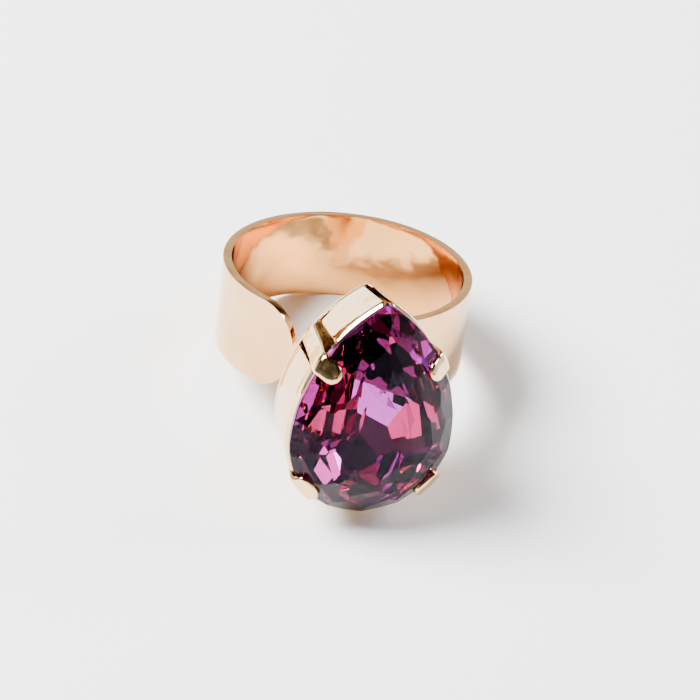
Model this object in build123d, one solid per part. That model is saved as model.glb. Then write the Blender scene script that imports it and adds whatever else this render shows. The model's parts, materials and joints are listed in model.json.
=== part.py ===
from build123d import *
from math import sin, cos, atan2, hypot, pi, radians, degrees, sqrt
import os

os.makedirs("parts", exist_ok=True)

# ---------------------------------------------------------------- sizes, mm
# Ring axes: the finger runs along Z, the centre of the band is the origin,
# and the setting faces -Y. The pear's tip points up, towards +Z.

# Band: an open strip, bent round a finger of about 19 mm.
R_OUT = 10.15          # outer radius
T_BAND = 0.70          # strip thickness
R_IN = R_OUT - T_BAND
R_MID = (R_OUT + R_IN) / 2
W_BAND = 7.30          # strip width
EDGE = 0.20            # rounding along the strip's edges
END_LEN = 3.00         # length of the elliptical blunt end
FREE_TIP = 231.0       # angle of the free end, from +X
FIXED_TIP = -106.0     # angle of the end behind the setting
FLEX = 90.0            # where the band flexes, at the back of the finger

# Flex knuckle, on the strip's middle line.
R_KNUCKLE = T_BAND / 2 - 0.01
R_SEAT = R_KNUCKLE + 0.03
LIP = 0.22             # the seat's lips end this far short of the flex line

# Stone: an 18 x 13 pear.
L_PEAR = 18.0
W_PEAR = 13.0
CROWN = 2.20
GIRDLE = 0.30
PAVILION = 4.30

# Setting, in its own axes: X right, Y towards the pear's tip, Z outwards,
# with the stone's girdle at Z = 0. The walls lean out from the back plate to
# the rim, most of all at the tip.
DEPTH = 5.80           # back plate's rear face to the girdle
T_BASE = 0.45
T_WALL = 0.45
BACK_IN = 0.30         # back plate's outline, inside the stone's
RIM_OUT = 0.15         # rim's outline, outside the stone's
TIP_DROP = 0.75        # how much lower the tip is at the back
RIM_Z = -0.12
BEAD = 0.42            # height of the upright band under the rim
TIP_SLOT = 0.70
SETTING_AT = (-1.92, -16.10, -0.49)   # girdle centre, in ring axes
SETTING_SPIN = -0.4

# Claws.
Y_UP = 4.1             # height of the upper claws' seats
A_LOW = -39.0          # angle of the lower claws on the round foot
UP_GAP = 1.0           # open slot beside each upper claw
W_UPPER = 1.70
W_LOWER = 2.40
T_CLAW = 0.42

# Solder pad.
PAD_X = (-1.9, 2.4)
PAD_Z = 2.45

# How the finished ring lies on a table, by its centre of mass: on the rear edge
# of the pear's foot and the back edge of the band.
BACK_TILT = 14.4
SIDE_LEAN = 5.2

FOIL = 0.12


# ------------------------------------------------------------ pear outline
R_FOOT = W_PEAR / 2
Y_FOOT = -L_PEAR / 2 + R_FOOT                     # centre of the round foot
H_TIP = L_PEAR / 2 - Y_FOOT
R_SIDE = (H_TIP ** 2 + R_FOOT ** 2) / (2 * R_FOOT)
X_SIDE = R_SIDE - R_FOOT                          # side arcs' centres at (+-X_SIDE, Y_FOOT)


def pear_face(off, drop=0.0):
    """The pear outline grown by off, its tip lowered by drop, as a face."""
    h = H_TIP - drop
    r = (h ** 2 + R_FOOT ** 2) / (2 * R_FOOT)
    x = r - R_FOOT
    rs, rf = r + off, R_FOOT + off
    tip = Y_FOOT + sqrt(rs * rs - x * x)
    a = atan2(tip - Y_FOOT, x) / 2
    mr = (-x + rs * cos(a), Y_FOOT + rs * sin(a))
    ml = (-mr[0], mr[1])
    foot = ThreePointArc((-rf, Y_FOOT), (0, Y_FOOT - rf), (rf, Y_FOOT))
    right = ThreePointArc((rf, Y_FOOT), mr, (0, tip))
    left = ThreePointArc((0, tip), ml, (-rf, Y_FOOT))
    return make_face(foot + right + left)


def pear_point(y, right=True):
    """Point and outward normal on a side arc at height y."""
    s = 1 if right else -1
    dx = sqrt(R_SIDE ** 2 - (y - Y_FOOT) ** 2)
    n = (dx / R_SIDE, (y - Y_FOOT) / R_SIDE)
    return (s * (dx - X_SIDE), y), (s * n[0], n[1])


def foot_point(deg):
    """Point and outward normal on the round foot."""
    c, s = cos(radians(deg)), sin(radians(deg))
    return (R_FOOT * c, Y_FOOT + R_FOOT * s), (c, s)


def outline_point(share):
    """Point and outward normal, at a share of the way round from the tip."""
    a_tip = atan2(H_TIP, X_SIDE)
    side = R_SIDE * a_tip
    foot = R_FOOT * pi
    d = share % 1.0 * (2 * side + foot)
    if d <= side:
        a = a_tip - d / R_SIDE
        return (-X_SIDE + R_SIDE * cos(a), Y_FOOT + R_SIDE * sin(a)), (cos(a), sin(a))
    if d <= side + foot:
        return foot_point(-degrees((d - side) / R_FOOT))
    a = (d - side - foot) / R_SIDE
    return (X_SIDE - R_SIDE * cos(a), Y_FOOT + R_SIDE * sin(a)), (-cos(a), sin(a))


def slab(z0, z1):
    return Pos(0, 0, (z0 + z1) / 2) * Box(60, 60, z1 - z0)


# ---------------------------------------------------------------- crystal
# Tiers of facets: count, shift round the outline, inset from the outline,
# height from the girdle's middle, slope, and how unevenly they lean.
G = GIRDLE / 2
CROWN_FACETS = [
    (16, 0.5, 0.0, G, 42.7, 0.0),
    (12, 0.0, 1.10, G + 1.00, 30.0, 2.0),
    (8, 0.3, 2.4, G + 1.74, 15.0, 2.0),
    (5, 0.6, 4.0, G + 2.12, 7.0, 2.0),
]
BACK_FACETS = [
    (18, 0.5, 0.0, G, 52.0, 2.0),
    (15, 0.0, 0.8, G + 1.00, 43.0, 4.0),
    (13, 0.5, 1.8, G + 1.90, 36.0, 5.0),
    (10, 0.2, 3.1, G + 2.80, 29.0, 6.0),
    (7, 0.6, 4.4, G + 3.45, 20.0, 6.0),
]


def waver(i, k):
    """A fixed uneven value from -1 to 1, so that no two facets lean alike."""
    return sin(7.13 * i + 3.7 * k + 1.9 * sin(2.3 * i + k))


def cut_stone(tiers, up, grow=0.0):
    """The facet planes of one side of the stone, moved outwards by grow."""
    planes = []
    for k, (count, shift, inset, height, slope, uneven) in enumerate(tiers):
        for i in range(count):
            p, n = outline_point((i + shift) / count)
            a = radians(uneven * waver(i, k + 5))
            n2 = (n[0] * cos(a) - n[1] * sin(a), n[0] * sin(a) + n[1] * cos(a))
            tilt = radians(slope + uneven * waver(i, k))
            z_dir = (n2[0] * sin(tilt), n2[1] * sin(tilt), up * cos(tilt))
            at = (p[0] - n[0] * inset, p[1] - n[1] * inset, up * height)
            at = tuple(c + grow * d for c, d in zip(at, z_dir))
            planes.append(Plane(origin=at, z_dir=z_dir))
    return planes


def ground(blank, planes):
    for pl in planes:
        blank = split(blank, bisect_by=pl, keep=Keep.BOTTOM)
    return blank


blank = Pos(0, 0, -G - PAVILION) * extrude(pear_face(0.0), CROWN + GIRDLE + PAVILION)
crystal = ground(blank, cut_stone(CROWN_FACETS, 1) + cut_stone(BACK_FACETS, -1))

foil = Pos(0, 0, -G - PAVILION - FOIL) * extrude(pear_face(FOIL), PAVILION)
foil = ground(foil, cut_stone(BACK_FACETS, -1, FOIL))
foil = (foil & slab(-10, -0.80)) - crystal

# ---------------------------------------------------------------- setting
BEAD_Z = RIM_Z - BEAD


def shell(off):
    """The leaning body of the setting, its outline changed by off."""
    low = loft([Pos(0, 0, -DEPTH) * pear_face(-BACK_IN + off, TIP_DROP), Pos(0, 0, BEAD_Z) * pear_face(RIM_OUT + off)],
               ruled=True)
    return low + Pos(0, 0, BEAD_Z) * extrude(pear_face(RIM_OUT + off), BEAD)


outer = shell(0.0)
base = outer & slab(-DEPTH - 1, -DEPTH + T_BASE)
walls = (outer & slab(-DEPTH + T_BASE, 1)) - shell(-T_WALL) - crystal

SEATS = {
    "claw_upper_left": pear_point(Y_UP, False),
    "claw_upper_right": pear_point(Y_UP, True),
    "claw_lower_left": foot_point(180.0 - A_LOW),
    "claw_lower_right": foot_point(A_LOW),
}


def seat_place(p, n):
    """Axes of a claw seat: X outwards, Y along the outline, Z outwards of the setting."""
    return Location(Plane(origin=(p[0], p[1], 0), x_dir=(n[0], n[1], 0), z_dir=(0, 0, 1)))


# A claw's middle line, outward and height, from the back plate up the wall,
# over the rim and down on to the crown.
FLOOR_Z = -DEPTH + T_BASE
UPPER_LINE = [(-0.62, FLOOR_Z), (-0.42, -3.6), (-0.18, -2.0), (0.10, -0.7), (0.23, -0.15), (0.24, 0.18),
              (0.11, 0.46), (-0.16, 0.64), (-0.58, 0.98), (-0.98, 1.34), (-1.32, 1.56), (-1.70, 1.78)]
LOWER_LINE = [(-0.46, FLOOR_Z), (-0.30, -3.6), (-0.10, -2.0), (0.12, -0.7), (0.24, -0.15), (0.25, 0.18),
              (0.11, 0.46), (-0.16, 0.64), (-0.50, 0.91), (-0.78, 1.16), (-1.10, 1.44)]


def claw_profile(mid):
    """The claw's bent strip, as a face in X (outwards) and Z."""
    left, right = [], []
    h = T_CLAW / 2
    for i, (x, z) in enumerate(mid):
        x0, z0 = mid[max(i - 1, 0)]
        x1, z1 = mid[min(i + 1, len(mid) - 1)]
        m = hypot(x1 - x0, z1 - z0)
        nx, nz = ((z1 - z0) / m, -(x1 - x0) / m) if i else (1.0, 0.0)
        right.append((x + nx * h, 0, z + nz * h))
        left.append((x - nx * h, 0, z - nz * h))
    return Face(Wire([Spline(*right), Line(right[-1], left[-1]), Spline(*left[::-1]), Line(left[0], right[0])]))


def make_claw(p, n, line, width, reach, round_len):
    """reach: how far in the round tip ends; round_len: the length it takes to round off."""
    strip = extrude(claw_profile(line), width / 2, dir=(0, 1, 0), both=True)
    plan = Pos((3 - reach + round_len) / 2 + reach, 0, 0) * Rectangle(3 - reach - round_len, width)
    plan = plan + Pos(reach + round_len, 0, 0) * Ellipse(round_len, width / 2)
    strip = strip & (Pos(0, 0, -8) * extrude(plan, 16))
    return (seat_place(p, n) * strip) - crystal


claws = {}
for name, (p, n) in SEATS.items():
    if "upper" in name:
        claws[name] = make_claw(p, n, UPPER_LINE, W_UPPER, -1.36, 0.85)
        # the wide side of the slot is towards the pear's tip
        side = 1.0 if n[0] > 0 else -1.0
        lo, hi = -(W_UPPER / 2 + 0.05), W_UPPER / 2 + UP_GAP
        cutter = Pos(0, side * (lo + hi) / 2, -DEPTH / 2) * Box(5, hi - lo, DEPTH + 3)
    else:
        claws[name] = make_claw(p, n, LOWER_LINE, W_LOWER, -0.84, 0.50)
        cutter = Pos(0, 0, -DEPTH / 2) * Box(5, W_LOWER + 0.4, DEPTH + 3)
    walls = walls - seat_place(p, n) * cutter
walls = walls - Pos(0, L_PEAR / 2, -DEPTH / 2) * Box(TIP_SLOT, 6, DEPTH + 3)

segments = {}
for s in walls.solids():
    c = s.center()
    if c.Y > 4:
        key = "wall_tip_right" if c.X > 0 else "wall_tip_left"
    elif c.Y < -7:
        key = "wall_foot"
    else:
        key = "wall_right" if c.X > 0 else "wall_left"
    segments[key] = s if key not in segments else segments[key] + s

# ------------------------------------------------------------------- band
ring = Cylinder(R_OUT, W_BAND) - Cylinder(R_IN, W_BAND)
ring = fillet(ring.edges().filter_by(GeomType.CIRCLE), EDGE)


def sector(a0, a1):
    """A wedge from angle a0 to a1, in degrees, about Z."""
    n = max(2, int((a1 - a0) / 30) + 1)
    pts = [(0, 0)]
    for i in range(n + 1):
        a = radians(a0 + (a1 - a0) * i / n)
        pts.append((40 * cos(a), 40 * sin(a)))
    return Pos(0, 0, -10) * extrude(make_face(Polyline(*pts, close=True)), 20)


def blunt(tip, toward):
    """What to cut away so that the strip ends in a half ellipse at angle tip.
    toward is +1 if the strip runs to larger angles, -1 if to smaller ones."""
    half = degrees(END_LEN / 2 / R_MID)
    a = radians(tip + toward * half)
    out = (cos(a), sin(a), 0)
    along = (toward * sin(a), -toward * cos(a), 0)      # towards the tip
    pl = Plane(origin=(7 * out[0], 7 * out[1], 0), x_dir=along, z_dir=out)
    e = END_LEN / 2
    rect = Pos(-e + 4, 0) * Rectangle(8, 12)
    shape = rect - Pos(-e, 0) * Ellipse(END_LEN, W_BAND / 2)
    return extrude(pl * shape, 6)


hinge = Pos(0, R_MID, 0)
fixed = (ring & sector(FIXED_TIP, FLEX)) - blunt(FIXED_TIP, 1)
fixed = fixed + hinge * Cylinder(R_KNUCKLE, W_BAND)
free = (ring & sector(FLEX, FREE_TIP)) - blunt(FREE_TIP, -1)
free = free - hinge * Pos(1 - LIP, 0, 0) * Box(2, 2, W_BAND + 2) - hinge * Cylinder(R_SEAT, W_BAND + 2)

# -------------------------------------------------------------------- pad
back_face = SETTING_AT[1] + DEPTH
pw = PAD_X[1] - PAD_X[0]
pad2d = RectangleRounded(pw, 2 * PAD_Z, 1.3)
pad = Plane(origin=((PAD_X[0] + PAD_X[1]) / 2, back_face, 0), x_dir=(1, 0, 0), z_dir=(0, 1, 0)) * pad2d
pad = extrude(pad, 1.5)
pad = pad - Cylinder(R_OUT, 20)

# ------------------------------------------------------------- placements
place = Pos(*SETTING_AT) * Rot(90, 0, 0) * Rot(0, 0, SETTING_SPIN)
nodes = {"setting_base": place * base, "crystal": place * crystal, "foil_backing": place * foil}
for k, s in segments.items():
    nodes[k] = place * s
for k, s in claws.items():
    nodes[k] = place * s
nodes["band_fixed_arm"] = fixed
nodes["band_free_arm"] = free
nodes["solder_joint"] = pad

lay = Rot(0, SIDE_LEAN, 0) * Rot(-BACK_TILT, 0, 0)
nodes = {k: lay * s for k, s in nodes.items()}
boxes = [s.bounding_box() for s in nodes.values()]
x0, x1 = min(b.min.X for b in boxes), max(b.max.X for b in boxes)
y0, y1 = min(b.min.Y for b in boxes), max(b.max.Y for b in boxes)
shift = Pos(-(x0 + x1) / 2, -(y0 + y1) / 2, -min(b.min.Z for b in boxes))

for name, s in nodes.items():
    whole = shift * s
    whole.label = name
    export_step(whole, f"parts/{name}.step")
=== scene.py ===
import json
from math import acos, asin, atan2, cos, degrees, hypot, pi, radians, sin, sqrt

import bmesh
import bpy
from mathutils import Matrix, Vector


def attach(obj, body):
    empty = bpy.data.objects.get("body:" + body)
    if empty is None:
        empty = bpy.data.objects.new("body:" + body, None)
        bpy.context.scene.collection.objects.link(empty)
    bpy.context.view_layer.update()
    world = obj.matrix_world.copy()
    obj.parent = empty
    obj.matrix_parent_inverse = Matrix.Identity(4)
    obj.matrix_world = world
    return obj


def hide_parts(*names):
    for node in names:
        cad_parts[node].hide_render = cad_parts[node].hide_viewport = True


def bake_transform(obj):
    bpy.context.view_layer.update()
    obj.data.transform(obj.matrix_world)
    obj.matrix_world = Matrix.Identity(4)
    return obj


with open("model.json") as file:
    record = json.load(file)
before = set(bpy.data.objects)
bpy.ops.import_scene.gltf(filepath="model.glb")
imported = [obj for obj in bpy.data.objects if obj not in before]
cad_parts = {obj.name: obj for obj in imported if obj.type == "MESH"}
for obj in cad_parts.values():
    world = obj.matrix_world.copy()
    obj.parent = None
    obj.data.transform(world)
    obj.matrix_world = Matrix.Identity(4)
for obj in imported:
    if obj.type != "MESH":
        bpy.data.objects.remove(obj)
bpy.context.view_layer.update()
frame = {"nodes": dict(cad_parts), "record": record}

# ------------------------------------------------------------------ sizes
# The bench works in millimetres, in the ring's own axes: the finger runs
# along Z, the band's centre is the origin and the setting faces -Y. Angles
# are in degrees, from +X towards +Y.

# the band
R_OUT = 10.15
T_BAND = 0.70
R_MID = R_OUT - T_BAND / 2
W_BAND = 7.30
END_LEN = 3.00
FREE_TIP = 231.0
FIXED_TIP = -106.0

# the stone, a pear drawn from a half circle at its foot and two side arcs
L_PEAR = 18.0
W_PEAR = 13.0
CROWN = 2.20
GIRDLE = 0.30
PAVILION = 4.30
R_FOOT = W_PEAR / 2
Y_FOOT = -L_PEAR / 2 + R_FOOT
H_TIP = L_PEAR / 2 - Y_FOOT
R_SIDE = (H_TIP ** 2 + R_FOOT ** 2) / (2 * R_FOOT)
X_SIDE = R_SIDE - R_FOOT
A_TIP = degrees(atan2(H_TIP, X_SIDE))

# the setting, in its own axes: the outline in XY, the stone's girdle at Z 0
DEPTH = 5.80
T_BASE = 0.45
FLOOR_Z = -DEPTH + T_BASE
T_WALL = 0.45
BACK_IN = 0.30
RIM_OUT = 0.15
TIP_DROP = 0.75
RIM_Z = -0.12
BEAD = 0.42
BEAD_Z = RIM_Z - BEAD
BEAD_IN = 0.10
TIP_SLOT = 0.70
PLATE_ROUND = 0.07
WALL_ROUND = 0.05
SETTING_AT = (-1.92, -16.10, -0.49)
SETTING_SPIN = -0.4

# the claws and the gaps beside them
Y_UP = 4.1
A_UP = degrees(asin((Y_UP - Y_FOOT) / R_SIDE))
A_LOW = -39.0
UP_GAP = 1.0
SIDE_GAP = 0.05
LOW_GAP = 0.20
W_UPPER = 1.70
W_LOWER = 2.40
T_CLAW = 0.42

# how the ring lies on the table
BACK_TILT = 14.4
SIDE_LEAN = 5.2

MM = 0.001
bore = frame["record"]["mounts"][0]
RING = (
    Matrix.Translation(Vector(bore["pos_m"]))
    @ Matrix.Rotation(radians(SIDE_LEAN), 4, "Y")
    @ Matrix.Rotation(radians(-BACK_TILT), 4, "X")
    @ Matrix.Scale(MM, 4)
)
SETTING = (
    RING
    @ Matrix.Translation(Vector(SETTING_AT))
    @ Matrix.Rotation(radians(90), 4, "X")
    @ Matrix.Rotation(radians(SETTING_SPIN), 4, "Z")
)


# ------------------------------------------------------- hands on the bench
def clear():
    if bpy.context.mode != "OBJECT":
        bpy.ops.object.mode_set(mode="OBJECT")
    bpy.ops.object.select_all(action="DESELECT")


def take(obj):
    clear()
    obj.select_set(True)
    bpy.context.view_layer.objects.active = obj


def edit(obj):
    take(obj)
    bpy.ops.object.mode_set(mode="EDIT")
    bpy.ops.mesh.select_mode(type="VERT")


def copy_of(obj, name):
    take(obj)
    bpy.ops.object.duplicate()
    twin = bpy.context.object
    twin.name = name
    twin.data.name = name
    return twin


def one_point(name, place):
    """A mesh with a single vertex, to spin or extrude from."""
    clear()
    bpy.ops.mesh.primitive_plane_add(size=1, location=(0, 0, 0))
    obj = bpy.context.object
    obj.name = name
    edit(obj)
    bpy.ops.mesh.select_all(action="SELECT")
    bpy.ops.mesh.merge(type="CENTER")
    bpy.ops.transform.translate(value=place)
    return obj


def select(obj, test, kind="VERT"):
    """Selects what test accepts, by its place, normal or row, in edit mode."""
    bpy.ops.mesh.select_mode(type=kind)
    bpy.ops.mesh.select_all(action="DESELECT")
    bm = bmesh.from_edit_mesh(obj.data)
    parts = {"VERT": bm.verts, "EDGE": bm.edges, "FACE": bm.faces}[kind]
    for part in parts:
        if test(part):
            part.select = True
    bm.select_flush_mode()
    bmesh.update_edit_mesh(obj.data)


def near(x, y, reach=0.002):
    """Accepts the vertices that stand at x, y, at any height."""
    return lambda v: hypot(v.co.x - x, v.co.y - y) < reach


def weld(reach=0.0005):
    bpy.ops.mesh.select_all(action="SELECT")
    bpy.ops.mesh.remove_doubles(threshold=reach)


def spin(centre, turn, steps):
    """Draws the selection round a centre by turn degrees, from +X towards +Y.
    The operator counts its own angle the other way."""
    bpy.ops.mesh.spin(steps=steps, angle=-radians(turn), center=(*centre, 0), axis=(0, 0, 1))


def close_up(obj):
    weld()
    bpy.ops.mesh.normals_make_consistent(inside=False)
    bpy.ops.object.mode_set(mode="OBJECT")
    return obj


def modify(obj, kind, **values):
    take(obj)
    modifier = obj.modifiers.new(kind.title(), kind)
    for label, value in values.items():
        setattr(modifier, label, value)
    bpy.ops.object.modifier_apply(modifier=modifier.name)


def ease_edges(obj, width, segments, over_angle):
    """Rounds every edge that is sharper than over_angle degrees."""
    modify(obj, "BEVEL", width=width, segments=segments, limit_method="ANGLE",
           angle_limit=radians(over_angle), miter_outer="MITER_ARC")


def settle(obj, place, smooth):
    """Puts a finished piece where it belongs, with its place in its mesh."""
    take(obj)
    obj.matrix_world = place @ obj.matrix_world
    bpy.ops.object.transform_apply(location=True, rotation=True, scale=True)
    if smooth:
        bpy.ops.object.shade_smooth_by_angle(angle=radians(smooth))


setting_pieces = []


def in_setting(obj, *nodes, smooth=35):
    settle(obj, SETTING, smooth)
    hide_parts(*nodes)
    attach(obj, "setting")
    setting_pieces.append(obj)


# -------------------------------------------------------------------- band
BAND_ROUND = 0.29
BAND_ROWS = 16
BAND_STEPS = 150
END_STEPS = 22
BLUNT = 0.9985


def on_band(radius, angle):
    return radius * cos(radians(angle)), radius * sin(radians(angle))


def make_band():
    """One strip without its thickness: a line across the width, spun round the
    finger, its two ends drawn out row by row into half ellipses."""
    end_turn = degrees(END_LEN / R_MID)
    fixed_start, free_start = FIXED_TIP + end_turn, FREE_TIP - end_turn
    obj = one_point("band", (*on_band(R_OUT, fixed_start), -W_BAND / 2))
    for _ in range(BAND_ROWS):
        bpy.ops.mesh.extrude_region_move(TRANSFORM_OT_translate={"value": (0, 0, W_BAND / BAND_ROWS)})
    bpy.ops.mesh.select_all(action="SELECT")
    spin((0, 0), free_start - fixed_start, BAND_STEPS)
    weld(0.001)
    for start, way in ((free_start, 1), (fixed_start, -1)):
        select(obj, near(*on_band(R_OUT, start), 0.01))
        bpy.ops.mesh.select_mode(type="EDGE")
        last_reach, last_width = 0.0, 1.0
        for i in range(1, END_STEPS + 1):
            reach = BLUNT * sin(pi / 2 * i / END_STEPS)
            width = sqrt(1 - reach * reach)
            turn = way * radians(end_turn) * (reach - last_reach)
            bpy.ops.mesh.extrude_edges_move()
            bpy.ops.transform.rotate(value=-turn, orient_axis="Z", center_override=(0, 0, 0))
            bpy.ops.transform.resize(value=(1, 1, width / last_width), center_override=(0, 0, 0))
            last_reach, last_width = reach, width
    return close_up(obj)


# ------------------------------------------------- the pear and its outlines
def on_side(angle):
    """Point and outward normal on the stone's right side arc."""
    c, s = cos(radians(angle)), sin(radians(angle))
    return (-X_SIDE + R_SIDE * c, Y_FOOT + R_SIDE * s), (c, s)


def on_foot(angle):
    """Point and outward normal on the half circle round the stone's foot."""
    c, s = cos(radians(angle)), sin(radians(angle))
    return (R_FOOT * c, Y_FOOT + R_FOOT * s), (c, s)


def side_turn(length):
    return degrees(length / R_SIDE)


def foot_turn(length):
    return degrees(length / R_FOOT)


def pear_slab(name, foot_r, side_x, tip_turn, floor_z, height, foot_steps, side_steps):
    """The pear's outline from three spun arcs, filled and raised. Its top is
    left selected."""
    obj = one_point(name, (-foot_r, Y_FOOT, floor_z))
    spin((0, Y_FOOT), 180, foot_steps)
    spin((-side_x, Y_FOOT), tip_turn, side_steps)
    select(obj, near(-foot_r, Y_FOOT))
    spin((side_x, Y_FOOT), -tip_turn, side_steps)
    weld(0.001)
    bpy.ops.mesh.edge_face_add()
    bpy.ops.mesh.extrude_region_move(TRANSFORM_OT_translate={"value": (0, 0, height)})
    return obj


# ------------------------------------------------------------------ setting
# The walls lean: the outline at the back plate is smaller than at the rim,
# and its tip is lower, so each height has its own arcs.
def wall_out(z):
    """How far the wall's outer face stands outside the stone's outline at height z."""
    if z > BEAD_Z:
        return RIM_OUT - BEAD_IN * (z - BEAD_Z) / BEAD
    return -BACK_IN + (RIM_OUT + BACK_IN) * (z + DEPTH) / (DEPTH + BEAD_Z)


def side_arc(z, out):
    """The outline's side arc at height z, moved outward by out: its centre's
    distance from the middle, its radius and its angle at the tip."""
    drop = TIP_DROP * min(1.0, max(0.0, (BEAD_Z - z) / (DEPTH + BEAD_Z)))
    height = H_TIP - drop
    radius = (height ** 2 + R_FOOT ** 2) / (2 * R_FOOT)
    centre_x = radius - R_FOOT
    radius += out
    return centre_x, radius, degrees(acos(centre_x / radius))


# The wall's closed profile: up its outer face, over the bead at the rim and
# down its inner face. A point is (outward from the outer face, height).
WALL_ROWS = (FLOOR_Z, -4.2, -2.8, -1.4)
PROFILE = (
    [(0.0, z) for z in WALL_ROWS]
    + [(-0.02, BEAD_Z - 0.10), (0.03, BEAD_Z - 0.02), (0.045, BEAD_Z + 0.08)]
    + [(0.02, RIM_Z - 0.14), (-0.02, RIM_Z - 0.03), (-0.09, RIM_Z), (-0.17, RIM_Z - 0.06)]
    + [(-T_WALL, z) for z in (BEAD_Z - 0.08, *reversed(WALL_ROWS))]
)
SIDE_STEPS = 28
CORNER_STEPS = 16
FOOT_STEPS = 48


def wall_line(name, out, z, side, foot):
    """One profile point drawn along the side arc, the foot arc or both. The
    side's angles are stretched to take up the same share of the way to the
    tip at every height."""
    out += wall_out(z)
    if side:
        x, r, tip = side_arc(z, out)
        start, stop = (angle * tip / A_TIP for angle in side)
        first = (-x + r * cos(radians(start)), Y_FOOT + r * sin(radians(start)))
        last = (-x + r * cos(radians(stop)), Y_FOOT + r * sin(radians(stop)))
        line = one_point(name, (*first, z))
        spin((-x, Y_FOOT), stop - start, SIDE_STEPS)
        if foot:
            select(line, near(*last))
            spin((0, Y_FOOT), foot[1] - foot[0], CORNER_STEPS)
    else:
        r, start = R_FOOT + out, radians(foot[0])
        line = one_point(name, (r * cos(start), Y_FOOT + r * sin(start), z))
        spin((0, Y_FOOT), foot[1] - foot[0], FOOT_STEPS)
    weld()
    return line


def within(rows, length):
    """Accepts the edges that lie in one of these rows of length vertices each."""
    def test(edge):
        first, last = (v.index // length for v in edge.verts)
        return first == last and first in rows
    return test


def wall_strip(name, side=None, foot=None):
    """A wall: a line along the outline for each point of the profile, bridged
    into a tube and capped. side and foot are its (start, stop) angles."""
    lines = [wall_line(name, out, z, side, foot) for out, z in PROFILE]
    clear()
    for line in lines:
        line.select_set(True)
    bpy.context.view_layer.objects.active = lines[0]
    bpy.ops.object.join()
    obj = bpy.context.object
    obj.name = name
    rows = len(PROFILE)
    length = len(obj.data.vertices) // rows
    edit(obj)
    for row in range(rows):
        select(obj, within((row, (row + 1) % rows), length), "EDGE")
        bpy.ops.mesh.bridge_edge_loops()
    # cap the two ends
    bpy.ops.mesh.select_all(action="DESELECT")
    bpy.ops.mesh.select_non_manifold(extend=False, use_wire=False, use_boundary=True,
                                     use_multi_face=False, use_non_contiguous=False, use_verts=False)
    bpy.ops.mesh.edge_face_add()
    return obj


def make_tip_wall(name):
    """Runs a little past the tip, then is cut back to the open slot."""
    past_tip = 5.0
    obj = wall_strip(name, side=(A_UP + side_turn(W_UPPER / 2 + UP_GAP), A_TIP + past_tip))
    bpy.ops.mesh.select_all(action="SELECT")
    bpy.ops.mesh.bisect(plane_co=(TIP_SLOT / 2, 0, 0), plane_no=(-1, 0, 0), use_fill=True,
                        clear_outer=True)
    return close_up(obj)


def make_side_wall(name):
    start = A_UP - side_turn(W_UPPER / 2 + SIDE_GAP)
    stop = A_LOW + foot_turn(W_LOWER / 2 + LOW_GAP)
    return close_up(wall_strip(name, side=(start, 0.0), foot=(0.0, stop)))


def make_foot_wall(name):
    start = A_LOW - foot_turn(W_LOWER / 2 + LOW_GAP)
    return close_up(wall_strip(name, foot=(start, -180 - start)))


def mirrored(obj, name):
    twin = copy_of(obj, name)
    edit(twin)
    bpy.ops.mesh.select_all(action="SELECT")
    bpy.ops.transform.resize(value=(-1, 1, 1), center_override=(0, 0, 0))
    bpy.ops.mesh.normals_make_consistent(inside=False)
    bpy.ops.object.mode_set(mode="OBJECT")
    return twin


def make_back_plate(name):
    """Widens a little towards its top, as the walls above it do."""
    side_x, _, tip_turn = side_arc(-DEPTH, -BACK_IN)
    obj = pear_slab(name, R_FOOT - BACK_IN, side_x, tip_turn, -DEPTH, T_BASE,
                    foot_steps=72, side_steps=40)
    grow = 1 + (wall_out(FLOOR_Z) + BACK_IN) / R_FOOT
    bpy.ops.transform.resize(value=(grow, grow, 1), center_override=(0, 0, -DEPTH))
    return close_up(obj)


# -------------------------------------------------------------------- claws
# A claw's middle line, outward and height, from the back plate up the wall,
# over the rim and down on to the crown.
UPPER_LINE = [(-0.62, FLOOR_Z), (-0.42, -3.6), (-0.18, -2.0), (0.10, -0.7), (0.23, -0.15), (0.24, 0.18),
              (0.11, 0.46), (-0.16, 0.64), (-0.58, 0.98), (-0.98, 1.34), (-1.32, 1.56)]
LOWER_LINE = [(-0.46, FLOOR_Z), (-0.30, -3.6), (-0.10, -2.0), (0.12, -0.7), (0.24, -0.15), (0.25, 0.18),
              (0.11, 0.46), (-0.16, 0.64), (-0.50, 0.92), (-0.80, 1.18)]
UPPER_ROUND = 0.85
LOWER_ROUND = 0.55
LINE_STEPS = 20
CLAW_ROWS = 32
TIP_ROWS = 10
TIP_BLUNT = 0.995
TIP_SWELL = 0.18
SWELL_LEN = 0.8
TIP_THIN = 0.8


def along(points):
    """A smooth line through points: a function of length, and the whole length."""
    dense = []
    last = len(points) - 1
    for i in range(last):
        p0, p1 = Vector(points[max(i - 1, 0)]), Vector(points[i])
        p2, p3 = Vector(points[i + 1]), Vector(points[min(i + 2, last)])
        for k in range(LINE_STEPS):
            t = k / LINE_STEPS
            dense.append(0.5 * (2 * p1 + (p2 - p0) * t + (2 * p0 - 5 * p1 + 4 * p2 - p3) * t * t
                                + (3 * p1 - p0 - 3 * p2 + p3) * t ** 3))
    dense.append(Vector(points[-1]))
    run = [0.0]
    for a, b in zip(dense, dense[1:]):
        run.append(run[-1] + (b - a).length)

    def at(length):
        """Place and heading at a length along the line."""
        i = max(k for k in range(len(run)) if run[k] <= length + 1e-9)
        if i >= len(dense) - 1:
            return dense[-1], (dense[-1] - dense[-2]).normalized()
        share = (length - run[i]) / (run[i + 1] - run[i])
        return dense[i].lerp(dense[i + 1], share), (dense[i + 1] - dense[i]).normalized()

    return at, run[-1]


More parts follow.
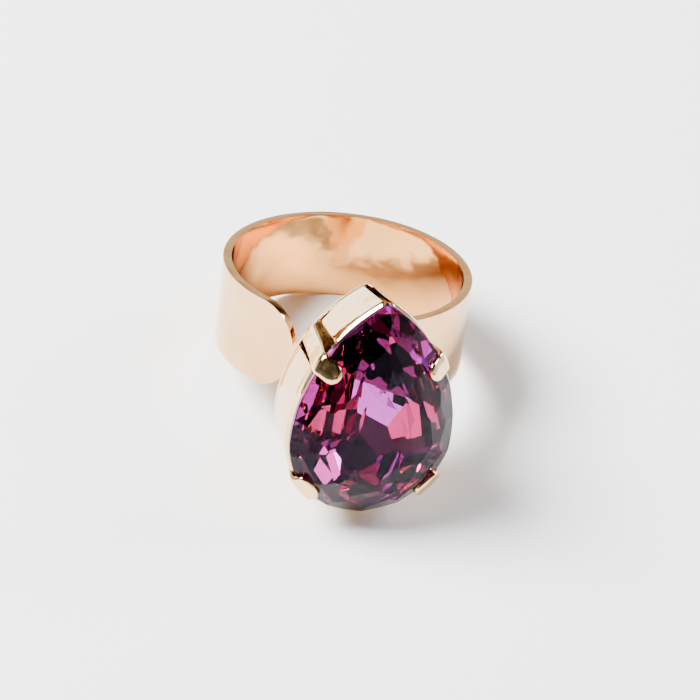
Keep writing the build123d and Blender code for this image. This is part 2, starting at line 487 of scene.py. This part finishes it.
def claw_section(width):
    """The strip's section, outward and across: a flat back, eased edges and a
    slightly domed front."""
    h, w = T_CLAW / 2, width / 2
    half = [(-h, -w + 0.05), (-h + 0.04, -w), (h - 0.17, -w), (h - 0.08, -w + 0.05),
            (h - 0.04, -w * 0.76), (h + 0.01, -w * 0.4), (h + 0.03, 0.0)]
    return half + [(x, -y) for x, y in half[-2::-1]]


def make_claw(name, line, width, round_len):
    """A domed strip, drawn up from its foot row by row and narrowed to a round tip."""
    at, total = along(line)
    last_place, _ = at(0)
    section = claw_section(width)
    x, y = section[0]
    obj = one_point(name, (last_place.x + x, y, last_place.y))
    for (x0, y0), (x1, y1) in zip(section, section[1:]):
        bpy.ops.mesh.extrude_region_move(TRANSFORM_OT_translate={"value": (x1 - x0, y1 - y0, 0)})
    bpy.ops.mesh.select_all(action="SELECT")
    bpy.ops.mesh.edge_face_add()
    straight = total - round_len
    stops = [straight * i / CLAW_ROWS for i in range(1, CLAW_ROWS + 1)]
    stops += [straight + round_len * TIP_BLUNT * sin(pi / 2 * i / TIP_ROWS) for i in range(1, TIP_ROWS + 1)]
    last_turn, last_width, last_thick = 0.0, 1.0, 1.0
    for stop in stops:
        place, heading = at(stop)
        turn = atan2(heading.y, heading.x) - pi / 2
        into_tip = max(0.0, (stop - straight) / round_len)
        swell = min(1.0, max(0.0, 1 + (stop - straight) / SWELL_LEN))
        now_width = sqrt(max(0.0, 1 - into_tip ** 2))
        thick = 1.0 + TIP_SWELL * swell - TIP_THIN * into_tip ** 4
        bpy.ops.mesh.extrude_region_move(
            TRANSFORM_OT_translate={"value": (place.x - last_place.x, 0, place.y - last_place.y)})
        here = (place.x, 0, place.y)
        # undo the last turn, resize in the strip's own axes, take up the new turn
        bpy.ops.transform.rotate(value=-last_turn, orient_axis="Y", center_override=here)
        bpy.ops.transform.resize(value=(thick / last_thick, now_width / last_width, 1), center_override=here)
        bpy.ops.transform.rotate(value=turn, orient_axis="Y", center_override=here)
        last_place, last_turn, last_width, last_thick = place, turn, now_width, thick
    return close_up(obj)


def seat_claw(pattern, node_name, seat):
    """Stands a copy of a claw at its seat, on the side that its name says."""
    claw = copy_of(pattern, node_name.replace("claw_", "claw_strip_"))
    (x, y), (nx, ny) = seat
    side = -1 if "left" in node_name else 1
    claw.matrix_world = (
        Matrix.Translation((side * x, y, 0)) @ Matrix.Rotation(atan2(ny, side * nx), 4, "Z")
    )
    in_setting(claw, node_name, smooth=60)


# -------------------------------------------------------------------- stone
# Tiers of facets, from the girdle inwards: how many, their shift along the
# outline in parts of one facet, and how far inside the outline, how high, how
# steep and how uneven they are.
HALF_GIRDLE = GIRDLE / 2
CROWN_FACETS = [
    (16, 0.5, 0.0, HALF_GIRDLE, 42.7, 0.0),
    (12, 0.0, 1.10, HALF_GIRDLE + 1.00, 30.0, 2.0),
    (8, 0.3, 2.4, HALF_GIRDLE + 1.74, 15.0, 2.0),
    (5, 0.6, 4.0, HALF_GIRDLE + 2.12, 7.0, 2.0),
]
BACK_FACETS = [
    (18, 0.5, 0.0, HALF_GIRDLE, 52.0, 2.0),
    (15, 0.0, 0.8, HALF_GIRDLE + 1.00, 43.0, 4.0),
    (13, 0.5, 1.8, HALF_GIRDLE + 1.90, 36.0, 5.0),
    (10, 0.2, 3.1, HALF_GIRDLE + 2.80, 29.0, 6.0),
    (7, 0.6, 4.4, HALF_GIRDLE + 3.45, 20.0, 6.0),
]
BACK_NORMAL = -0.25
# foil tints for the back facets: plum and magenta carry the stone's own purple, the dark tint is painted
# shade for facets that reflect dark surroundings, and the violet and red tints are painted colour flashes
# like dispersion
FOIL_TINTS_AND_FLASHES = {
    "foil_painted_dark": (0.17, 0.05, 0.13),
    "foil_plum": (0.50, 0.14, 0.42),
    "foil_magenta": (0.58, 0.25, 0.44),
    "foil_painted_violet_flash": (0.66, 0.34, 0.88),
    "foil_painted_red_flash": (0.62, 0.12, 0.24),
}


def outline_point(share):
    """The pear's outline by its share of the way round, clockwise from the tip:
    point and outward normal."""
    side = R_SIDE * radians(A_TIP)
    foot = R_FOOT * pi
    length = share % 1.0 * (2 * side + foot)
    if length <= side:
        return on_side(A_TIP - side_turn(length))
    if length <= side + foot:
        return on_foot(-foot_turn(length - side))
    (x, y), (nx, ny) = on_side(side_turn(length - side - foot))
    return (-x, y), (-nx, ny)


def waver(i, k):
    """A fixed uneven value from -1 to 1, so that no two facets lean alike."""
    return sin(7.13 * i + 3.7 * k + 1.9 * sin(2.3 * i + k))


def grind(point, heading, slope, up):
    """Cuts one flat facet through point, facing heading and leaning in at slope."""
    tilt, facing = radians(slope), radians(heading)
    normal = Vector((cos(facing) * sin(tilt), sin(facing) * sin(tilt), up * cos(tilt)))
    bpy.ops.mesh.select_all(action="SELECT")
    bpy.ops.mesh.bisect(plane_co=point, plane_no=normal, use_fill=True, clear_outer=True)


def make_stone(name):
    obj = pear_slab(name, R_FOOT, X_SIDE, A_TIP, -HALF_GIRDLE - PAVILION, CROWN + GIRDLE + PAVILION,
                    foot_steps=96, side_steps=54)
    bpy.ops.mesh.select_all(action="SELECT")
    bpy.ops.mesh.normals_make_consistent(inside=False)
    for up, tiers in ((1, CROWN_FACETS), (-1, BACK_FACETS)):
        for k, (count, shift, inset, height, slope, uneven) in enumerate(tiers):
            for i in range(count):
                (x, y), (nx, ny) = outline_point((i + shift) / count)
                heading = degrees(atan2(ny, nx)) + uneven * waver(i, k + 5)
                point = (x - nx * inset, y - ny * inset, up * height)
                grind(point, heading, slope + uneven * waver(i, k), up)
    bpy.ops.object.mode_set(mode="OBJECT")
    return obj


def make_foil(name, stone):
    """The mirror layer: the stone's own back facets, lifted off and given a thickness."""
    foil_edge = -HALF_GIRDLE - 0.35
    obj = copy_of(stone, name)
    edit(obj)
    select(obj, lambda f: f.normal.z > BACK_NORMAL or f.calc_center_median().z > foil_edge, "FACE")
    bpy.ops.mesh.delete(type="FACE")
    bpy.ops.object.mode_set(mode="OBJECT")
    modify(obj, "SOLIDIFY", thickness=0.08, offset=1.3)
    return obj


def facet_flash_tint(facet):
    """Which finish a facet takes: 0, clear, in front, and a foil tint behind, scattered so that some back
    facets show painted darkness and painted colour flashes.
    """
    if facet.normal.z >= BACK_NORMAL:
        return 0
    phase = 2
    place = waver(degrees(atan2(facet.center.y, facet.center.x)) + phase, facet.center.z)
    return 1 + int(len(FOIL_TINTS_AND_FLASHES) / 2 * (1 + place))


# --------------------------------------------------------------- the pieces
band = make_band()
modify(band, "SOLIDIFY", thickness=T_BAND, offset=-1, use_even_offset=True)
ease_edges(band, BAND_ROUND, segments=6, over_angle=50)
settle(band, RING, smooth=40)
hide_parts("band_fixed_arm", "band_free_arm")

back_plate = make_back_plate("back_plate")
ease_edges(back_plate, PLATE_ROUND, segments=3, over_angle=40)
in_setting(back_plate, "setting_base")

tip_right = make_tip_wall("tip_wall_right")
side_right = make_side_wall("side_wall_right")
foot_wall = make_foot_wall("foot_wall")
for wall in (tip_right, side_right, foot_wall):
    ease_edges(wall, WALL_ROUND, segments=2, over_angle=55)
tip_left = mirrored(tip_right, "tip_wall_left")
side_left = mirrored(side_right, "side_wall_left")
in_setting(tip_right, "wall_tip_right")
in_setting(tip_left, "wall_tip_left")
in_setting(side_right, "wall_right")
in_setting(side_left, "wall_left")
in_setting(foot_wall, "wall_foot")

upper = make_claw("upper_claw", UPPER_LINE, W_UPPER, UPPER_ROUND)
lower = make_claw("lower_claw", LOWER_LINE, W_LOWER, LOWER_ROUND)
for hand in ("right", "left"):
    seat_claw(upper, "claw_upper_" + hand, on_side(A_UP))
for hand in ("right", "left"):
    seat_claw(lower, "claw_lower_" + hand, on_foot(A_LOW))
for pattern in (upper, lower):
    take(pattern)
    bpy.ops.object.delete()

stone = make_stone("stone")
foil = make_foil("foil_shell", stone)
facet_flash_tints = [facet_flash_tint(facet) for facet in stone.data.polygons]
in_setting(stone, "crystal", smooth=0)
in_setting(foil, "foil_backing", smooth=0)


# ---------------------------------------------------------------- finishes
MIX_SHARE, MIX_FIRST, MIX_SECOND, MIX_RESULT = 0, 6, 7, 2
OUTER_SKIN = 0.1
RIPPLE_DEPTH = 0.001
MARK_DEPTH = 0.00005
MARK_STRENGTH = 0.02


def node(tree, kind, **values):
    n = tree.nodes.new("ShaderNode" + kind)
    for label, value in values.items():
        setattr(n, label, value)
    return n


def feed(tree, socket, value):
    """Links a socket into another, or sets it directly to a constant."""
    if isinstance(value, bpy.types.NodeSocket):
        tree.links.new(value, socket)
    else:
        socket.default_value = value


def calc(tree, operation, *values):
    n = node(tree, "Math", operation=operation)
    for socket, value in zip(n.inputs, values):
        feed(tree, socket, value)
    return n.outputs[0]


def noise(tree, point, scale, detail, roughness=0.5):
    n = node(tree, "TexNoise")
    feed(tree, n.inputs["Vector"], point)
    feed(tree, n.inputs["Scale"], scale)
    n.inputs["Detail"].default_value = detail
    n.inputs["Roughness"].default_value = roughness
    return n.outputs["Fac"]


def spread(tree, value, low, high, start=0.3, stop=0.7):
    """Spreads a noise's useful range, start to stop, over low to high."""
    n = node(tree, "MapRange")
    n.inputs["From Min"].default_value = start
    n.inputs["From Max"].default_value = stop
    n.inputs["To Min"].default_value = low
    n.inputs["To Max"].default_value = high
    tree.links.new(value, n.inputs["Value"])
    return n.outputs[0]


def mix_colours(tree, share, first, second):
    n = node(tree, "Mix", data_type="RGBA")
    feed(tree, n.inputs[MIX_SHARE], share)
    feed(tree, n.inputs[MIX_FIRST], first)
    feed(tree, n.inputs[MIX_SECOND], second)
    return n.outputs[MIX_RESULT]


def ring_point(tree):
    """Object coordinates turned into the ring's own axes, in millimetres."""
    place = node(tree, "TexCoord")
    turned = node(tree, "Mapping", vector_type="POINT")
    turn = Matrix.Rotation(radians(BACK_TILT), 3, "X") @ Matrix.Rotation(radians(-SIDE_LEAN), 3, "Y")
    turned.inputs["Rotation"].default_value = turn.to_euler("XYZ")
    turned.inputs["Scale"].default_value = (1 / MM,) * 3
    turned.inputs["Location"].default_value = -(turn @ Vector(bore["pos_m"]) / MM)
    tree.links.new(place.outputs["Object"], turned.inputs["Vector"])
    return turned.outputs["Vector"]


def make_polish_group():
    """Polishing marks that run round the finger, a soft ripple, an uneven tone
    and a mask of the band's inner face, where the metal takes a painted shade."""
    group = bpy.data.node_groups.new("polishing_marks", "ShaderNodeTree")
    group.interface.new_socket(name="Point", in_out="INPUT", socket_type="NodeSocketVector")
    for label in ("Across", "Along", "Ripple size"):
        group.interface.new_socket(name=label, in_out="INPUT", socket_type="NodeSocketFloat")
    for label in ("Marks", "Ripple", "Tone", "Inside"):
        group.interface.new_socket(name=label, in_out="OUTPUT", socket_type="NodeSocketFloat")
    given = group.nodes.new("NodeGroupInput").outputs
    result = group.nodes.new("NodeGroupOutput").inputs
    split = node(group, "SeparateXYZ")
    group.links.new(given["Point"], split.inputs[0])
    x, y, z = split.outputs
    squares = calc(group, "ADD", calc(group, "MULTIPLY", x, x), calc(group, "MULTIPLY", y, y))
    radius = calc(group, "SQRT", squares)
    round_finger = calc(group, "MULTIPLY", calc(group, "ARCTAN2", y, x), R_MID)
    stretched = node(group, "CombineXYZ")
    group.links.new(calc(group, "MULTIPLY", round_finger, given["Along"]), stretched.inputs["X"])
    group.links.new(calc(group, "MULTIPLY", z, given["Across"]), stretched.inputs["Y"])
    group.links.new(calc(group, "MULTIPLY", radius, given["Across"]), stretched.inputs["Z"])
    marks = noise(group, stretched.outputs[0], scale=1.0, detail=4.0, roughness=0.65)
    group.links.new(marks, result["Marks"])
    group.links.new(noise(group, given["Point"], given["Ripple size"], detail=1.5), result["Ripple"])
    group.links.new(noise(group, given["Point"], scale=0.22, detail=3.0), result["Tone"])
    group.links.new(calc(group, "LESS_THAN", radius, R_OUT - OUTER_SKIN), result["Inside"])
    return group


POLISH = make_polish_group()


def finish(name, values):
    """A material with the Principled shader's constant sockets set."""
    material = bpy.data.materials.new(name)
    material.use_nodes = True
    shader = material.node_tree.nodes["Principled BSDF"]
    for label, value in values.items():
        shader.inputs[label].default_value = value
    return material


def make_metal(name, colour, warm, painted_inner_shade, rough, across, lengthwise, ripple, ripple_size):
    """Polished metal that drifts between colour and warm, with a painted shade on the band's inner face: a
    darker, more saturated colour that stands in for the shade and warm inter-reflections there.
    """
    material = finish(name, {"Metallic": 1.0})
    tree = material.node_tree
    shader = tree.nodes["Principled BSDF"]
    polish = node(tree, "Group", node_tree=POLISH)
    polish.inputs["Across"].default_value = across
    polish.inputs["Along"].default_value = lengthwise
    polish.inputs["Ripple size"].default_value = ripple_size
    tree.links.new(ring_point(tree), polish.inputs["Point"])
    marks = polish.outputs["Marks"]
    outside = mix_colours(tree, spread(tree, polish.outputs["Tone"], 0.0, 1.0), (*colour, 1), (*warm, 1))
    # the band's inner face gets a painted shade: a darker, more saturated colour in place of the shade and
    # warm inter-reflections inside the ring
    everywhere = mix_colours(tree, polish.outputs["Inside"], outside, (*painted_inner_shade, 1))
    tree.links.new(everywhere, shader.inputs["Base Color"])
    tree.links.new(spread(tree, marks, rough * 0.75, rough * 1.3), shader.inputs["Roughness"])
    waves = node(tree, "Bump")
    waves.inputs["Strength"].default_value = ripple
    waves.inputs["Distance"].default_value = RIPPLE_DEPTH
    tree.links.new(polish.outputs["Ripple"], waves.inputs["Height"])
    scratches = node(tree, "Bump")
    scratches.inputs["Strength"].default_value = MARK_STRENGTH
    scratches.inputs["Distance"].default_value = MARK_DEPTH
    tree.links.new(marks, scratches.inputs["Height"])
    tree.links.new(waves.outputs["Normal"], scratches.inputs["Normal"])
    tree.links.new(scratches.outputs["Normal"], shader.inputs["Normal"])
    return material


def dress(obj, *materials):
    obj.data.materials.clear()
    for material in materials:
        obj.data.materials.append(material)


# each metal's last colour is the painted shade for the band's inner face
rose_gold = make_metal(
    "polished_rose_gold", colour=(0.82, 0.45, 0.20), warm=(0.87, 0.54, 0.28), painted_inner_shade=(0.77, 0.38, 0.12),
    rough=0.07, across=22.0, lengthwise=0.6, ripple=0.08, ripple_size=0.35,
)
pale_gold = make_metal(
    "polished_pale_gold", colour=(0.80, 0.52, 0.23), warm=(0.87, 0.62, 0.32), painted_inner_shade=(0.80, 0.45, 0.18),
    rough=0.08, across=9.0, lengthwise=3.0, ripple=0.05, ripple_size=0.8,
)
solder_gold = make_metal(
    "plated_solder", colour=(0.80, 0.62, 0.44), warm=(0.74, 0.56, 0.38), painted_inner_shade=(0.76, 0.56, 0.36),
    rough=0.28, across=4.0, lengthwise=4.0, ripple=0.3, ripple_size=1.2,
)
glass = finish("purple_crystal", {
    "Base Color": (0.56, 0.16, 0.39, 1),
    "Specular Tint": (0.12, 0.09, 0.15, 1),
    "Roughness": 0.0,
    "IOR": 1.58,
    "Transmission Weight": 1.0,
})
foil_and_flash_tints = [
    finish(name, {"Base Color": (*colour, 1), "Metallic": 1.0, "Roughness": 0.0})
    for name, colour in FOIL_TINTS_AND_FLASHES.items()
]

dress(band, rose_gold)
for piece in setting_pieces:
    if piece not in (stone, foil):
        dress(piece, pale_gold)
dress(frame["nodes"]["solder_joint"], solder_gold)
dress(foil, solder_gold)
# clearing the materials sets every facet back to the first, so the foil tints, with their painted darkness
# and colour flashes, go on after
dress(stone, glass, *foil_and_flash_tints)
for facet, index in zip(stone.data.polygons, facet_flash_tints):
    facet.material_index = index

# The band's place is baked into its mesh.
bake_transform(band)


# ------------------------------------------------------ floor, light, camera
clear()
bpy.ops.mesh.primitive_plane_add(size=3.0, location=(0, 0, 0))
floor = bpy.context.object
floor.name = "floor"
dress(floor, finish("pale_floor", {"Base Color": (0.80, 0.82, 0.84, 1), "Roughness": 0.85}))


def make_studio():
    """Bright walls under a darker ceiling, with soft uneven patches of light."""
    world = bpy.data.worlds.new("studio")
    world.use_nodes = True
    tree = world.node_tree
    sky = tree.nodes["Background"]
    direction = node(tree, "TexCoord").outputs["Generated"]
    split = node(tree, "SeparateXYZ")
    tree.links.new(direction, split.inputs[0])
    fade = node(tree, "ValToRGB")
    wall, ceiling = fade.color_ramp.elements
    wall.position, wall.color = 0.08, (0.95, 0.97, 1.0, 1)
    ceiling.position, ceiling.color = 0.42, (0.10, 0.085, 0.075, 1)
    tree.links.new(split.outputs["Z"], fade.inputs["Fac"])
    clouds = noise(tree, direction, scale=1.6, detail=1.0)
    patches = spread(tree, clouds, low=0.22, high=1.7, start=0.42, stop=0.56)
    tree.links.new(fade.outputs["Color"], sky.inputs["Color"])
    tree.links.new(patches, sky.inputs["Strength"])
    return world


def soft_light(name, at, size, power, colour):
    """A square soft light that faces the ring."""
    clear()
    bpy.ops.object.light_add(type="AREA", location=at)
    lamp = bpy.context.object
    lamp.name = name
    lamp.data.shape = "RECTANGLE"
    lamp.data.size, lamp.data.size_y = size, size
    lamp.data.energy = power
    lamp.data.color = colour
    lamp.rotation_euler = (-Vector(at)).to_track_quat("-Z", "Y").to_euler()


bpy.context.scene.world = make_studio()
soft_light("window", (-0.35, 0.15, 0.42), size=0.30, power=21.0, colour=(1.0, 0.98, 0.96))
soft_light("card", (0.40, 0.05, 0.25), size=0.20, power=3.0, colour=(0.95, 0.97, 1.0))

# the camera looks from above and a little left of the stone, in the ring's axes
LOOK_ROUND = -18.9
LOOK_DOWN = 26.5
LOOK_ROLL = 7.2
LOOK_FROM = 227.2
AIM_SIDE, AIM_UP = 0.57, -3.62
LENS = 143.3
SENSOR = 36.0
NEAREST = 0.005


def make_camera():
    round_, down, roll = radians(LOOK_ROUND), radians(LOOK_DOWN), radians(LOOK_ROLL)
    back = Vector((sin(round_) * cos(down), -cos(round_) * cos(down), sin(down)))
    right = Vector((cos(round_), sin(round_), 0))
    up = back.cross(right)
    right, up = right * cos(roll) + up * sin(roll), up * cos(roll) - right * sin(roll)
    eye = back * LOOK_FROM
    ahead = (right * AIM_SIDE + up * AIM_UP - eye).normalized()
    side = ahead.cross(up).normalized()
    turn = Matrix((side, side.cross(ahead), -ahead)).transposed().to_4x4()
    place = RING @ Matrix.Translation(eye) @ turn
    clear()
    bpy.ops.object.camera_add()
    camera = bpy.context.object
    camera.name = "camera"
    camera.data.lens = LENS
    camera.data.sensor_width = SENSOR
    camera.data.clip_start = NEAREST
    camera.location = place.to_translation()
    camera.rotation_mode = "QUATERNION"
    camera.rotation_quaternion = place.to_3x3().normalized().to_quaternion()
    return camera


camera = make_camera()
bpy.context.scene.camera = camera
